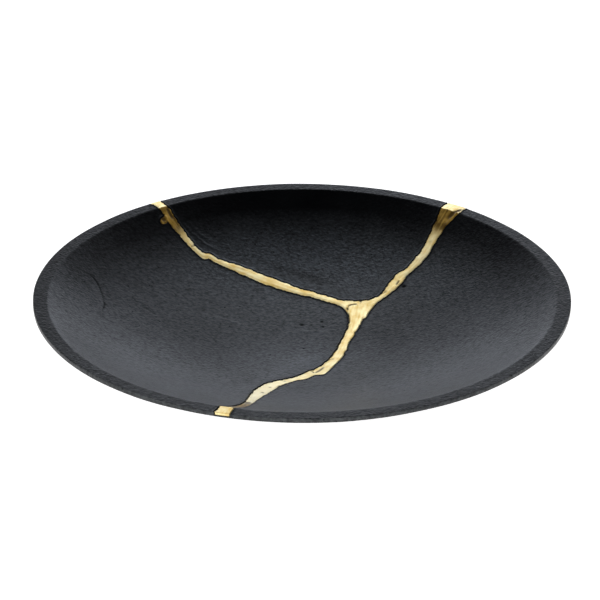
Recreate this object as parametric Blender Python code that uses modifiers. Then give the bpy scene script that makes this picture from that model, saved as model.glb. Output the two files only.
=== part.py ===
"""Shallow cast-aluminium bowl with a gold mended seam.

The bowl is one turned shell: a dished inside, a flat rim with an upright outer edge and a flat underside.
A groove runs over its inside and over the rim in three arms, as a mended break does, and a gold-coloured
inlay fills the groove and stands a little proud of it. Metres, +Z up, origin at the middle of the underside.
"""
import math

import bmesh
import bpy
from mathutils import Matrix, Vector

MM = 0.001

# Driving dimensions of the turned bowl.
BOWL_RADIUS = 200 * MM
RIM_WIDTH = 10.8 * MM
WALL_SLOPE = math.radians(29.35)    # of the outer wall where it leaves the rim's underside, from the horizontal
EDGE_ROUND = 0.5 * MM               # rounding above and below the rim's outer edge
EDGE_LAND = 2.9 * MM                # upright strip between the two roundings
EDGE_SHELF = 2.5 * MM               # flat under the rim, from its outer edge to where the outer wall begins
LIP_ROUND = 0.6 * MM                # rounding of the rim's inner edge
BASE_RADIUS = 40 * MM               # flat on the underside

# Driving dimensions of the seam.
SEAM_DEPTH = 2.6 * MM
SEAM_PROUD = 0.4 * MM
SEAM_OVERHANG = 2.2 * MM            # how far the seam wraps down over the rim's outer edge
SEAM_EDGE_RUN = 6 * MM              # in from the rim's outer edge, where the seam is only as deep as it wraps down
SEAM_GAP = 0.3 * MM                 # clearance between the inlay and its groove
STATION_STEP = 4.5 * MM             # spacing of the outline's points along each arm
NIBBLE = 0.28 * MM                  # how much the seam's edges wander
NIBBLE_WAVES = ((61, 2.1), (97, -1.3))      # of that wandering: waves in a metre, and shift on the left side
NIBBLE_PEAK = 1.4                   # height of the two waves together, which the wandering is divided by
ARM_REACH = 10 * MM                 # how far the first arm's prism stands out of the bowl, above and below
REACH_STEP = 1 * MM                 # how much further each next prism does, so that no two end in one plane
WELD = 0.001 * MM                   # points closer than this are one
GROOVE_REACH = 5 * MM               # how far the groove's cutter stands out of the bowl

# Resolution of the turned surfaces.
TURN_STEPS = 88
DISH_STEPS = 11
ROUND_STEPS = 3
LIP_STEPS = 2

# Angles between faces above which an edge is shaded sharp.
BOWL_SHARP = math.radians(30)
SEAM_SHARP = math.radians(40)

# Routes of the seam's arms in plan, from where they meet to past the rim: x, y and width, in millimetres.
FRONT_ARM = (
    (43.5, 73, 26), (43, 67, 22.5), (42, 60, 15.5), (40.8, 50, 10), (38.6, 40, 8), (35.4, 29, 7),
    (32, 18, 6.4), (29.5, 7, 7.2), (25.5, -6, 8), (19.5, -19, 8.6), (12, -29.5, 8.6), (2, -39, 6.4),
    (-10, -49, 7.2), (-20, -58, 10), (-27, -72, 11.6), (-32, -87, 9.8), (-35.5, -101, 7.6),
    (-38.5, -119, 5.8), (-43, -140, 6.8), (-49, -163, 8.6), (-54.5, -183, 10.6), (-60, -200, 12),
    (-63, -209, 12.6),
)
BACK_LEFT_ARM = (
    (44, 69.5, 8), (38, 71, 6.6), (31, 72.8, 6), (25.4, 75.2, 5.8), (20.6, 77.9, 6), (16.5, 80.3, 5.8),
    (11, 83.1, 5.6), (5, 85.7, 6), (-6, 90, 7), (-16, 95, 8.4), (-27, 99.8, 8.8), (-38, 105, 8.2),
    (-48, 109.4, 7.4), (-57, 112.6, 5.8), (-65, 115.7, 4.8), (-70.6, 118.6, 4.8), (-74.8, 118.4, 5.6),
    (-79, 121.2, 4.6), (-83.5, 125.8, 4.4), (-88, 132, 5.4), (-93, 138, 6), (-98, 145, 6.8),
    (-102, 150.8, 7), (-106, 156.8, 6.8), (-112, 164.6, 8.2), (-118.5, 173.2, 9.2),
)
BACK_RIGHT_ARM = (
    (42, 69.6, 8), (50, 70.1, 7.4), (56.4, 72.6, 5.8), (61.5, 77.2, 5), (66, 82.8, 7), (70.6, 89.4, 9),
    (74.8, 96.2, 8.2), (80.6, 101.2, 5.8), (86, 107.4, 6.8), (91.2, 114, 7.5), (95.4, 121.6, 6.8),
    (99, 129, 7.8), (103, 137, 9), (108, 145.2, 12.4), (113, 152.4, 16.4), (118, 160.6, 17), (123, 169, 17.4),
)
DRIP_PLACE = (-105.2 * MM, 144.6 * MM)      # the drop beside the back left arm
DRIP_RADII = (2.5 * MM, 3.6 * MM)
DRIP_TURN = math.radians(-28)
DRIP_POINTS = 14
DRIP_NECK = (-103.6 * MM, 148.6 * MM)
DRIP_NECK_RADII = (1.7 * MM, 2.6 * MM)

# Sizes worked out from the driving dimensions. Heights in a profile are first taken from the rim's top.
RIM_INNER_RADIUS = BOWL_RADIUS - RIM_WIDTH
WALL_TOP_RADIUS = BOWL_RADIUS - EDGE_SHELF
WALL_TOP_DROP = EDGE_ROUND + EDGE_LAND + EDGE_ROUND
OUTER_SPHERE = WALL_TOP_RADIUS / math.sin(WALL_SLOPE)
CENTRE_OVER_RIM = OUTER_SPHERE * math.cos(WALL_SLOPE) - WALL_TOP_DROP
RIM_HEIGHT = math.sqrt(OUTER_SPHERE ** 2 - BASE_RADIUS ** 2) - CENTRE_OVER_RIM
INNER_SPHERE = math.hypot(RIM_INNER_RADIUS, CENTRE_OVER_RIM)
DISH_SLOPE = math.asin(RIM_INNER_RADIUS / INNER_SPHERE)

BLACK_COAT = ("black_cast_aluminium", (0.040, 0.043, 0.047, 1.0), 0.55, 0.0)
GOLD_INLAY = ("gold_coloured_brass", (0.76, 0.56, 0.22, 1.0), 0.34, 1.0)


def clear_scene():
    """Remove every object of the open file."""
    for item in list(bpy.data.objects):
        bpy.data.objects.remove(item, do_unlink=True)


def new_collection(name):
    """Make a collection in the scene."""
    collection = bpy.data.collections.new(name)
    bpy.context.scene.collection.children.link(collection)
    return collection


def new_material(name, colour, roughness, metallic):
    """Make a Principled material."""
    material = bpy.data.materials.new(name)
    material.use_nodes = True
    shader = material.node_tree.nodes["Principled BSDF"]
    shader.inputs["Base Color"].default_value = colour
    shader.inputs["Roughness"].default_value = roughness
    shader.inputs["Metallic"].default_value = metallic
    material.diffuse_color = colour
    return material


def add_object(name, data, collection, helper=False):
    """Put an object in a collection. A helper is only shown as wires and never rendered."""
    item = bpy.data.objects.new(name, data)
    collection.objects.link(item)
    if helper:
        item.hide_render = True
        item.display_type = "WIRE"
    return item


def plain_mesh(item, name):
    """The evaluated mesh of an object, as new mesh data placed where the object is."""
    bpy.context.view_layer.update()
    evaluated = item.evaluated_get(bpy.context.evaluated_depsgraph_get())
    mesh = bpy.data.meshes.new_from_object(evaluated)
    mesh.name = name
    mesh.transform(item.matrix_world)
    return mesh


def weld(mesh):
    """Merge the doubled points of a mesh, such as those where a filled curve's caps meet its sides."""
    edit = bmesh.new()
    edit.from_mesh(mesh)
    bmesh.ops.remove_doubles(edit, verts=edit.verts, dist=WELD)
    edit.to_mesh(mesh)
    edit.free()


def arc(centre, radius, start, end, steps):
    """Points of an arc in the plane of the profile, from one angle to another, both ends included."""
    points = []
    for step in range(steps + 1):
        angle = start + (end - start) * step / steps
        points.append((centre[0] + radius * math.cos(angle), centre[1] + radius * math.sin(angle)))
    return points


def dish(radius, from_r, to_r, steps=DISH_STEPS):
    """Points of a dished surface: an arc about the spheres' centre between two distances from the axis."""
    centre = (0.0, RIM_HEIGHT + CENTRE_OVER_RIM)
    start = math.asin(from_r / radius) - math.pi / 2
    end = math.asin(to_r / radius) - math.pi / 2
    return arc(centre, radius, start, end, steps)


def turned(name, profile, collection, helper=False):
    """Turn a profile about Z with a Screw modifier. The profile runs down its outer side, top to bottom."""
    mesh = bpy.data.meshes.new(name)
    vertices = [(max(r, 0.0), 0.0, z) for r, z in profile]
    edges = [(i, i + 1) for i in range(len(vertices) - 1)]
    mesh.from_pydata(vertices, edges, [])
    item = add_object(name, mesh, collection, helper)
    screw = item.modifiers.new("turn", "SCREW")
    screw.axis = "Z"
    screw.steps = TURN_STEPS
    screw.render_steps = TURN_STEPS
    screw.use_merge_vertices = True
    screw.merge_threshold = WELD
    return item


def bowl_profile():
    """Outline of the wall: out along the dish, over the rim, round its edge and down to the underside."""
    lip_centre = (RIM_INNER_RADIUS + LIP_ROUND * math.tan(DISH_SLOPE / 2), RIM_HEIGHT - LIP_ROUND)
    top_centre = (BOWL_RADIUS - EDGE_ROUND, RIM_HEIGHT - EDGE_ROUND)
    low_centre = (BOWL_RADIUS - EDGE_ROUND, RIM_HEIGHT - EDGE_ROUND - EDGE_LAND)
    inside = dish(INNER_SPHERE, 0.0, lip_centre[0] - LIP_ROUND * math.sin(DISH_SLOPE))
    lip = arc(lip_centre, LIP_ROUND, math.pi / 2 + DISH_SLOPE, math.pi / 2, LIP_STEPS)[1:]
    edge_top = arc(top_centre, EDGE_ROUND, math.pi / 2, 0.0, ROUND_STEPS)
    edge_low = arc(low_centre, EDGE_ROUND, 0.0, -math.pi / 2, ROUND_STEPS)
    outside = dish(OUTER_SPHERE, WALL_TOP_RADIUS, BASE_RADIUS)
    return inside + lip + edge_top + edge_low + outside + [(0.0, 0.0)]


def skin_profile(depth, proud, overhang, edge_run):
    """Outline of a skin that lies over the dish and the rim and wraps over the rim's outer edge."""
    top_centre = (BOWL_RADIUS - EDGE_ROUND, RIM_HEIGHT - EDGE_ROUND)
    over = dish(INNER_SPHERE - proud, 0.0, RIM_INNER_RADIUS - proud * math.tan(DISH_SLOPE / 2))
    edge = arc(top_centre, EDGE_ROUND + proud, math.pi / 2, 0.0, ROUND_STEPS)
    foot = RIM_HEIGHT - overhang
    behind = BOWL_RADIUS - edge_run
    under = dish(INNER_SPHERE + depth, RIM_INNER_RADIUS + depth * math.tan(DISH_SLOPE / 2), 0.0)
    wrap = [(BOWL_RADIUS + proud, foot), (behind, foot), (behind, RIM_HEIGHT - depth)]
    return over + edge + wrap + under


def smooth_route(control):
    """Points (x, y, width, distance) every few millimetres along a smooth curve through a route."""
    points = [Vector(point) * MM for point in control]
    ends = [points[0] * 2 - points[1]] + points + [points[-1] * 2 - points[-2]]
    route = []
    travelled = 0.0
    for before, start, end, after in zip(ends, ends[1:], ends[2:], ends[3:]):
        length = (end.xy - start.xy).length
        steps = max(1, round(length / STATION_STEP))
        for step in range(steps):
            t = step / steps
            bend = (before * (-t + 2 * t ** 2 - t ** 3) + start * (2 - 5 * t ** 2 + 3 * t ** 3)
                    + end * (t + 4 * t ** 2 - 3 * t ** 3) + after * (t ** 3 - t ** 2)) / 2
            route.append((bend.x, bend.y, bend.z, travelled + length * t))
        travelled += length
    route.append((points[-1].x, points[-1].y, points[-1].z, travelled))
    return route


def nibble(distance, side):
    """How far the seam's edge wanders at a distance along an arm: uneven, and different on its two sides."""
    turns = distance * 2 * math.pi
    return NIBBLE * sum(math.sin(waves * turns + shift * side) for waves, shift in NIBBLE_WAVES) / NIBBLE_PEAK


def arm_outline(control, margin):
    """Closed plan outline of one arm of the seam, grown on both sides by the margin."""
    route = smooth_route(control)
    left = []
    right = []
    for index, (x, y, width, distance) in enumerate(route):
        before = route[max(index - 1, 0)]
        after = route[min(index + 1, len(route) - 1)]
        along = Vector((after[0] - before[0], after[1] - before[1])).normalized()
        across = Vector((-along.y, along.x))
        place = Vector((x, y))
        left.append(place + across * (width / 2 + nibble(distance, 1) + margin))
        right.append(place - across * (width / 2 + nibble(distance, -1) + margin))
    return left + right[::-1]


def drop_outline(place, radii, margin):
    """Closed oval outline of the drip, grown by the margin."""
    turn = Matrix.Rotation(DRIP_TURN, 2)
    points = []
    for index in range(DRIP_POINTS):
        angle = 2 * math.pi * index / DRIP_POINTS
        local = Vector(((radii[0] + margin) * math.cos(angle), (radii[1] + margin) * math.sin(angle)))
        points.append(turn @ local + Vector(place))
    return points


def prism(name, outline, low, high, collection):
    """An upright prism over a plan outline: a filled flat curve with thickness, made a closed mesh."""
    curve = bpy.data.curves.new(name, "CURVE")
    curve.dimensions = "2D"
    curve.fill_mode = "BOTH"
    curve.extrude = (high - low) / 2
    spline = curve.splines.new("POLY")
    spline.points.add(len(outline) - 1)
    for point, place in zip(spline.points, outline):
        point.co = (place.x, place.y, 0.0, 1.0)
    spline.use_cyclic_u = True
    source = add_object(name + "_outline", curve, collection, helper=True)
    source.location.z = (high + low) / 2
    mesh = plain_mesh(source, name)
    weld(mesh)
    bpy.data.objects.remove(source, do_unlink=True)
    return add_object(name, mesh, collection, helper=True)


def boolean(item, operation, other):
    """Add a Boolean modifier."""
    modifier = item.modifiers.new(operation.lower(), "BOOLEAN")
    modifier.operation = operation
    modifier.solver = "EXACT"
    modifier.object = other


def seam_shape(name, margin, skin, cutters):
    """The seam's arms and drip as upright prisms, joined and kept only where they lie inside the skin."""
    outlines = [arm_outline(control, margin) for control in (FRONT_ARM, BACK_LEFT_ARM, BACK_RIGHT_ARM)]
    outlines.append(drop_outline(DRIP_PLACE, DRIP_RADII, margin))
    outlines.append(drop_outline(DRIP_NECK, DRIP_NECK_RADII, margin))
    whole = None
    for index, outline in enumerate(outlines):
        reach = ARM_REACH + index * REACH_STEP
        piece = prism(f"{name}_piece_{index}", outline, -reach, RIM_HEIGHT + reach, cutters)
        if whole is None:
            whole = piece
        else:
            boolean(whole, "UNION", piece)
    boolean(whole, "INTERSECT", skin)
    return whole


def make_seam(parts, cutters):
    """The gold-coloured inlay."""
    profile = skin_profile(SEAM_DEPTH, SEAM_PROUD, SEAM_OVERHANG, SEAM_EDGE_RUN)
    skin = turned("seam_skin", profile, cutters, helper=True)
    shape = seam_shape("seam", 0.0, skin, cutters)
    seam = add_object("gold_seam", plain_mesh(shape, "gold_seam"), parts)
    finish(seam, GOLD_INLAY, SEAM_SHARP)
    return seam


def make_bowl(parts, cutters):
    """The turned shell, with the seam's groove cut in its dish and over its rim."""
    profile = skin_profile(SEAM_DEPTH + SEAM_GAP, GROOVE_REACH, SEAM_OVERHANG + SEAM_GAP,
                           SEAM_EDGE_RUN - SEAM_GAP)
    skin = turned("groove_skin", profile, cutters, helper=True)
    groove = seam_shape("groove", SEAM_GAP, skin, cutters)
    shell = turned("shell", bowl_profile(), cutters, helper=True)
    boolean(shell, "DIFFERENCE", groove)
    bowl = add_object("bowl_body", plain_mesh(shell, "bowl_body"), parts)
    finish(bowl, BLACK_COAT, BOWL_SHARP)
    return bowl


def finish(item, material, sharp_angle):
    """Give a piece its material, and smooth shading that stays crisp at its sharp edges."""
    item.data.materials.clear()
    item.data.materials.append(new_material(*material))
    item.data.shade_smooth()
    item.data.set_sharp_from_angle(angle=sharp_angle)


def main():
    """Build the bowl and its seam."""
    clear_scene()
    parts = new_collection("mended_bowl")
    cutters = new_collection("cutters")
    make_bowl(parts, cutters)
    make_seam(parts, cutters)


main()
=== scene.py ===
"""Looks of a shallow cast-aluminium bowl with a gold mended seam, dressed round its CAD model.

The bowl is one sand casting with a matt black coat, and a gold-coloured inlay lies in a groove over its
dish and rim. Both are made as sheets, flat triangulations in plan, which are laid over the bowl's turned
form, so that the groove, its lips and the inlay follow one outline. Geometry Nodes then give both their
cast and hand-laid relief. Metres, +Z up, in the frame of the CAD model.
"""
import logging
import math
from dataclasses import dataclass
from enum import Enum

import bpy
import numpy as np
from mathutils import Matrix, Vector
from mathutils.geometry import delaunay_2d_cdt
from mathutils.kdtree import KDTree


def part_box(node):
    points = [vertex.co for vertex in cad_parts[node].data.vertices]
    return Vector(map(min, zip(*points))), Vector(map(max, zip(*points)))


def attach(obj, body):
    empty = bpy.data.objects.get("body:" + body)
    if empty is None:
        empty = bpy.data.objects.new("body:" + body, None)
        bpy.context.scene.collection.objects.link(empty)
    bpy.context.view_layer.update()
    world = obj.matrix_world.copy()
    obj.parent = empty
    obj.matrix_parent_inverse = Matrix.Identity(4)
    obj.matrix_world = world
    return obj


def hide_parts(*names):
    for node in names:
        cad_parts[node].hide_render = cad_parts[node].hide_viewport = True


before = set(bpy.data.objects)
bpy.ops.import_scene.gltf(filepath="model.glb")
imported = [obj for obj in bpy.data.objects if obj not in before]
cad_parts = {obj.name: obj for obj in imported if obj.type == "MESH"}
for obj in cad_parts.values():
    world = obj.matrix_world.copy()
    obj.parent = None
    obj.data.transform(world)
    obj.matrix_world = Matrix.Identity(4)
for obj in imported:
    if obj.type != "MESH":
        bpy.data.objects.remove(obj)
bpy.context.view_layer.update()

MM = 0.001
RING_POINTS = 836                                   # round every ring over the rim, 1.5 mm apart
WELD = 1e-4                                         # millimetres within which two points in plan are one
NEAR = 0.01 * MM                                    # a point as close as this to a ring is on it
NEVER_ZERO = 1e-9                                   # least distance from the axis that is divided by
LOG = logging.getLogger("mended_bowl")


class Side(Enum):
    """The two sides of an arm of the seam, seen along it from the middle of the bowl to the rim."""

    LEFT = 1
    RIGHT = -1


class Ground(Enum):
    """What a layer of relief lies on: the piece's own place in space, or the flow along the seam."""

    PLACE = "position"
    FLOW = "flow"


# --------------------------------------------------------------------------------------------------
# Lines and curves in plan
# --------------------------------------------------------------------------------------------------


def ramp(value: np.ndarray, start: float | np.ndarray, length: float) -> np.ndarray:
    """Rise evenly from nothing at the start to one at a length past it."""
    return np.clip((value - start) / length, 0.0, 1.0)


def from_axis(plan: np.ndarray) -> np.ndarray:
    """Distances of plan points (x, y) from the bowl's axis."""
    return np.hypot(plan[:, 0], plan[:, 1])


def ring(radius: float, count: int, turn: float = 0.0) -> np.ndarray:
    """Points (x, y) evenly round a circle about the origin, where turn shifts them by a share of a step."""
    angle = (np.arange(count) + turn) * 2 * math.pi / count
    return radius * np.column_stack([np.cos(angle), np.sin(angle)])


def anticlockwise(loop: np.ndarray) -> np.ndarray:
    """The closed outline, turned round where it runs clockwise."""
    ahead = np.roll(loop, -1, axis=0)
    return loop if (loop[:, 0] * ahead[:, 1] - ahead[:, 0] * loop[:, 1]).sum() > 0 else loop[::-1]


def directions(line: np.ndarray) -> tuple[np.ndarray, np.ndarray]:
    """Find which way a line of points (x, y) runs.

    Args:
        line: The points, in order.

    Returns:
        Unit vectors along the line and across it to its left, one of each for each point.
    """
    along = np.gradient(line, axis=0)
    along /= np.linalg.norm(along, axis=1)[:, None]
    return along, np.column_stack([-along[:, 1], along[:, 0]])


def bend(before: np.ndarray, start: np.ndarray, end: np.ndarray, after: np.ndarray, t: float) -> np.ndarray:
    """Follow the smooth curve that runs through four points in a row.

    Args:
        before: The first point.
        start: The second point.
        end: The third point.
        after: The last point.
        t: How far from the second point to the third, from 0 to 1.

    Returns:
        The point there.
    """
    return (before * (-t + 2 * t ** 2 - t ** 3) + start * (2 - 5 * t ** 2 + 3 * t ** 3)
            + end * (t + 4 * t ** 2 - 3 * t ** 3) + after * (t ** 3 - t ** 2)) / 2


# --------------------------------------------------------------------------------------------------
# The bowl's turned form
# --------------------------------------------------------------------------------------------------


@dataclass(frozen=True)
class Trough:
    """How deep the groove, or the inlay in it, runs under the dish, the rim and the rim's outer edge."""

    depth: float                                    # under the dish and the rim
    overhang: float                                 # how far below the rim's top it ends on the outer edge
    edge_run: float = 6 * MM                        # from the rim's edge inwards, as deep as the overhang
    rim_start: float = 1 * MM                       # on the rim, where it begins to get shallower
    edge_share: float = 0.5                         # of the edge's run that its bottom takes up


@dataclass(frozen=True)
class BowlForm:
    """The turned form of the bowl: dish, rim, upright outer edge, the shelf under it and the outer wall."""

    radius: float
    rim_height: float
    rim_width: float = 10.8 * MM
    wall_slope: float = math.radians(29.35)
    edge_round: float = 0.5 * MM
    edge_land: float = 2.9 * MM
    edge_shelf: float = 2.5 * MM
    lip_round: float = 0.9 * MM
    base_radius: float = 40 * MM

    @property
    def rim_inner(self) -> float:
        """Radius at which the dish meets the rim."""
        return self.radius - self.rim_width

    @property
    def wall_top(self) -> float:
        """Radius at which the outer wall begins under the rim."""
        return self.radius - self.edge_shelf

    @property
    def outer_sphere(self) -> float:
        """Radius of the sphere of the outer wall."""
        return self.wall_top / math.sin(self.wall_slope)

    @property
    def centre(self) -> float:
        """Height of the centre that the dish and the outer wall share."""
        return math.sqrt(self.outer_sphere ** 2 - self.base_radius ** 2)

    @property
    def inner_sphere(self) -> float:
        """Radius of the sphere of the dish."""
        return math.hypot(self.rim_inner, self.centre - self.rim_height)

    @property
    def dish_slope(self) -> float:
        """Slope of the dish where it meets the rim."""
        return math.asin(self.rim_inner / self.inner_sphere)

    @property
    def edge_start(self) -> float:
        """Plan distance at which the rim's flat ends and its outer edge begins."""
        return self.radius - self.edge_round

    @property
    def land_start(self) -> float:
        """Plan distance, run out flat, at which the edge's upper rounding ends."""
        return self.edge_start + self.edge_round * math.pi / 2

    @property
    def land_end(self) -> float:
        """Plan distance, run out flat, at which the edge's lower rounding begins."""
        return self.land_start + self.edge_land

    @property
    def reach(self) -> float:
        """Plan distance, run out flat, at which the rim's edge ends and the shelf under it begins."""
        return self.land_end + self.edge_round * math.pi / 2

    def over(self, run: np.ndarray) -> tuple[np.ndarray, np.ndarray, np.ndarray, np.ndarray]:
        """Follow the upper surface outwards. Past the rim's flat, its edge is run out flat in plan.

        Args:
            run: Distances from the axis, in metres.

        Returns:
            Radius, height, and the outward normal's radial and upward parts.
        """
        crease = self.rim_inner + self.lip_round * math.tan(self.dish_slope / 2)
        lip_start = crease - self.lip_round * math.sin(self.dish_slope)
        high = self.rim_height - self.edge_round
        low = high - self.edge_land
        on_dish = np.minimum(run, lip_start) / self.inner_sphere
        on_lip = np.clip((run - crease) / self.lip_round, -math.sin(self.dish_slope), 0.0)
        turn = np.clip((run - self.edge_start) / self.edge_round, 0.0, math.pi / 2)
        drop = np.clip(run - self.land_start, 0.0, self.edge_land)
        tuck = np.clip((run - self.land_end) / self.edge_round, 0.0, math.pi / 2)
        radius = np.minimum(run, self.edge_start) + self.edge_round * (np.sin(turn) - (1 - np.cos(tuck)))
        height = np.where(run < lip_start, self.centre - self.inner_sphere * np.sqrt(1 - on_dish ** 2),
                          self.rim_height - self.lip_round * (1 - np.sqrt(1 - on_lip ** 2)))
        height = np.where(run > self.edge_start, high + self.edge_round * np.cos(turn), height)
        height = np.where(run > self.land_start, high - drop - self.edge_round * np.sin(tuck), height)
        height = np.where(run > self.land_end, low - self.edge_round * np.sin(tuck), height)
        normal_r = np.where(run < lip_start, -on_dish, on_lip)
        normal_r = np.where(run > self.edge_start, np.sin(turn) * np.cos(tuck), normal_r)
        normal_z = np.sqrt(np.maximum(1 - normal_r ** 2, 0.0))
        normal_z = np.where(run > self.land_end, -np.sin(tuck), normal_z)
        return radius, height, normal_r, normal_z

    def under(self, run: np.ndarray) -> np.ndarray:
        """Height of the underside at distances from the axis."""
        wall = self.centre - np.sqrt(self.outer_sphere ** 2 - np.minimum(run, self.wall_top) ** 2)
        return np.where(run < self.base_radius, 0.0, np.maximum(wall, 0.0))

    def lay(self, plan: np.ndarray, lift: np.ndarray) -> np.ndarray:
        """Lay plan points over the upper surface, lifted off it along its normal.

        Args:
            plan: Points (x, y) run out flat.
            lift: How far each stands off the surface.

        Returns:
            Points (x, y, z).
        """
        run = from_axis(plan)
        radius, height, normal_r, normal_z = self.over(run)
        ratio = (radius + normal_r * lift) / np.maximum(run, NEVER_ZERO)
        return np.column_stack([plan * ratio[:, None], height + normal_z * lift])

    def trough_end(self, trough: Trough) -> float:
        """Plan distance, run out flat, at which a trough ends on the rim's outer edge."""
        return self.land_start + trough.overhang - self.edge_round

    def lay_deep(self, plan: np.ndarray, trough: Trough) -> np.ndarray:
        """Lay plan points on the bottom of a trough that runs over the dish and the rim and down its edge.

        Args:
            plan: Points (x, y) run out flat.
            trough: How deep it is.

        Returns:
            Points (x, y, z).
        """
        run = from_axis(plan)
        inner = self.radius - trough.edge_run
        start, end = self.rim_inner + trough.rim_start, self.trough_end(trough)
        sphere = self.inner_sphere + trough.depth
        dish = self.centre - np.sqrt(sphere ** 2 - np.minimum(run, self.radius) ** 2)
        shallow = ramp(run, start, inner - start) * (trough.depth - trough.overhang)
        on_edge = inner + (self.radius - inner) * trough.edge_share * (run - inner) / (end - inner)
        radius = np.where(run < inner, run, on_edge)
        return np.column_stack([plan * (radius / np.maximum(run, NEVER_ZERO))[:, None],
                                np.minimum(dish, self.rim_height - trough.depth) + shallow])


# --------------------------------------------------------------------------------------------------
# The seam's route
# --------------------------------------------------------------------------------------------------


@dataclass(frozen=True)
class SeamArm:
    """One arm of the seam, from where the arms meet to past the rim.

    Its edges are uneven: long waves are added up, and shorter ones are multiplied in pairs, so that they come
    and go. A wave is given by its number in a metre and by its shift on the left side.
    """

    route: tuple[tuple[float, float, float], ...]   # x, y and width in millimetres
    slope_shade_from: float                               # share of the dish's radius where the painted shade on the slope begins
    nibble: float = 0.28 * MM
    fine_nibble: float = 0.34 * MM
    waves: tuple[tuple[float, float], ...] = ((61, 2.1), (97, -1.3))
    fine_waves: tuple[tuple[tuple[float, float], ...], ...] = (((173, 0.7), (41, 0)), ((287, -2), (67, 1)))
    peak: float = 1.4                               # height of the waves together, which they are divided by

    def stations(self, step: float) -> np.ndarray:
        """Follow the smooth curve through the route's points.

        Args:
            step: Spacing of the stations.

        Returns:
            One row for each station: x, y, half the width, and the distance along the arm.
        """
        points = np.array(self.route) * MM
        ends = np.vstack([2 * points[0] - points[1], points, 2 * points[-1] - points[-2]])
        rows = []
        travelled = 0.0
        for before, start, end, after in zip(ends, ends[1:], ends[2:], ends[3:]):
            length = math.dist(start[:2], end[:2])
            count = max(1, round(length / step))
            for t in np.arange(count) / count:
                x, y, width = bend(before, start, end, after, t)
                rows.append((x, y, width / 2, travelled + length * t))
            travelled += length
        x, y, width = points[-1]
        return np.array([*rows, (x, y, width / 2, travelled)])

    def wander(self, distance: np.ndarray, side: Side) -> np.ndarray:
        """Work out how far an edge of the arm wanders outwards.

        Args:
            distance: Distances along the arm.
            side: Whose edge it is. The two sides wander differently.

        Returns:
            One offset for each distance.
        """
        turns = distance * 2 * math.pi
        coarse = sum(np.sin(count * turns + shift * side.value) for count, shift in self.waves)
        fine = sum(math.prod(np.sin(count * turns + shift * side.value) for count, shift in pair)
                   for pair in self.fine_waves)
        return (self.nibble * coarse + self.fine_nibble * fine) / self.peak

    def outline(self, step: float, margin: float) -> np.ndarray:
        """Follow the arm's left edge outwards and its right edge back.

        Args:
            step: Spacing of the points.
            margin: How much the arm is grown on both sides.

        Returns:
            Closed outline (x, y).
        """
        rows = self.stations(step)
        line, half, distance = rows[:, :2], rows[:, 2], rows[:, 3]
        across = directions(line)[1]
        edges = [line + across * side.value * (half + self.wander(distance, side) + margin)[:, None]
                 for side in (Side.LEFT, Side.RIGHT)]
        return np.vstack([edges[0], edges[1][::-1]])


@dataclass(frozen=True)
class Drop:
    """An oval drop of the inlay on or beside an arm, in plan: millimetres and degrees."""

    place: tuple[float, float]
    radii: tuple[float, float]
    turn: float
    least_points: int = 14

    @property
    def axes(self) -> np.ndarray:
        """Unit vectors along the two radii, as rows."""
        cos, sin = math.cos(math.radians(self.turn)), math.sin(math.radians(self.turn))
        return np.array([[cos, sin], [-sin, cos]])

    def outline(self, step: float, margin: float) -> np.ndarray:
        """Run round the drop.

        Args:
            step: Greatest spacing of the points.
            margin: How much the drop is grown all round.

        Returns:
            Closed outline (x, y).
        """
        radii = np.array(self.radii) * MM + margin
        count = max(self.least_points, round(2 * math.pi * radii.max() / step))
        return ring(1.0, count) * radii @ self.axes + np.array(self.place) * MM


@dataclass(frozen=True)
class Patch:
    """A freely shaped spread of the inlay beside an arm, in plan: millimetres."""

    corners: tuple[tuple[float, float], ...]

    def outline(self, step: float, margin: float) -> np.ndarray:
        """Run round the patch, smoothly through its corners.

        Args:
            step: Spacing of the points, roughly.
            margin: How much the patch is grown all round.

        Returns:
            Closed outline (x, y).
        """
        corners = anticlockwise(np.array(self.corners) * MM)
        rows = []
        for index, start in enumerate(corners):
            before, end, after = (corners[(index + shift) % len(corners)] for shift in (-1, 1, 2))
            count = max(1, round(math.dist(start, end) / step))
            rows.extend(bend(before, start, end, after, t) for t in np.arange(count) / count)
        rows = np.array(rows)
        along = np.roll(rows, -1, axis=0) - np.roll(rows, 1, axis=0)
        out = np.column_stack([along[:, 1], -along[:, 0]]) / np.linalg.norm(along, axis=1)[:, None]
        return rows + out * margin


FRONT_ARM = SeamArm(
    ((43.5, 73, 26), (43, 67, 22.5), (42, 60, 15.5), (40.8, 50, 10), (38.6, 40, 8), (35.4, 29, 7),
     (32, 18, 6.4), (29.5, 7, 7.2), (25.5, -6, 8), (19.5, -19, 8.2), (12, -29.5, 7.6), (2, -39, 6.4),
     (-10, -49, 7.2), (-20, -58, 10), (-27, -72, 11.6), (-32, -87, 9.8), (-35.5, -101, 7.6),
     (-38.5, -119, 5.8), (-43, -140, 6.8), (-49, -163, 8.6), (-54.5, -183, 10.6), (-60, -200, 12),
     (-63, -209, 12.6)), slope_shade_from=0.64)
BACK_LEFT_ARM = SeamArm(
    ((44, 69.5, 8), (38, 71, 6.6), (31, 72.8, 6), (25.4, 75.2, 5.8), (20.6, 77.9, 6), (16.5, 80.3, 5.8),
     (11, 83.1, 5.6), (5, 85.7, 6), (-6, 90, 7), (-16, 95, 8.4), (-27, 99.8, 8.8), (-38, 105, 8.2),
     (-48, 109.4, 7.4), (-57, 112.6, 5.8), (-65, 115.7, 4.8), (-70.6, 118.6, 4.8), (-74.8, 118.4, 5.6),
     (-79, 121.2, 4.6), (-83.5, 125.8, 4.4), (-88, 132, 5.4), (-93, 138, 6), (-98, 145, 6.8),
     (-102, 150.8, 7), (-106, 156.8, 6.8), (-112, 164.6, 8.2), (-118.5, 173.2, 9.2)), slope_shade_from=0.825)
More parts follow.
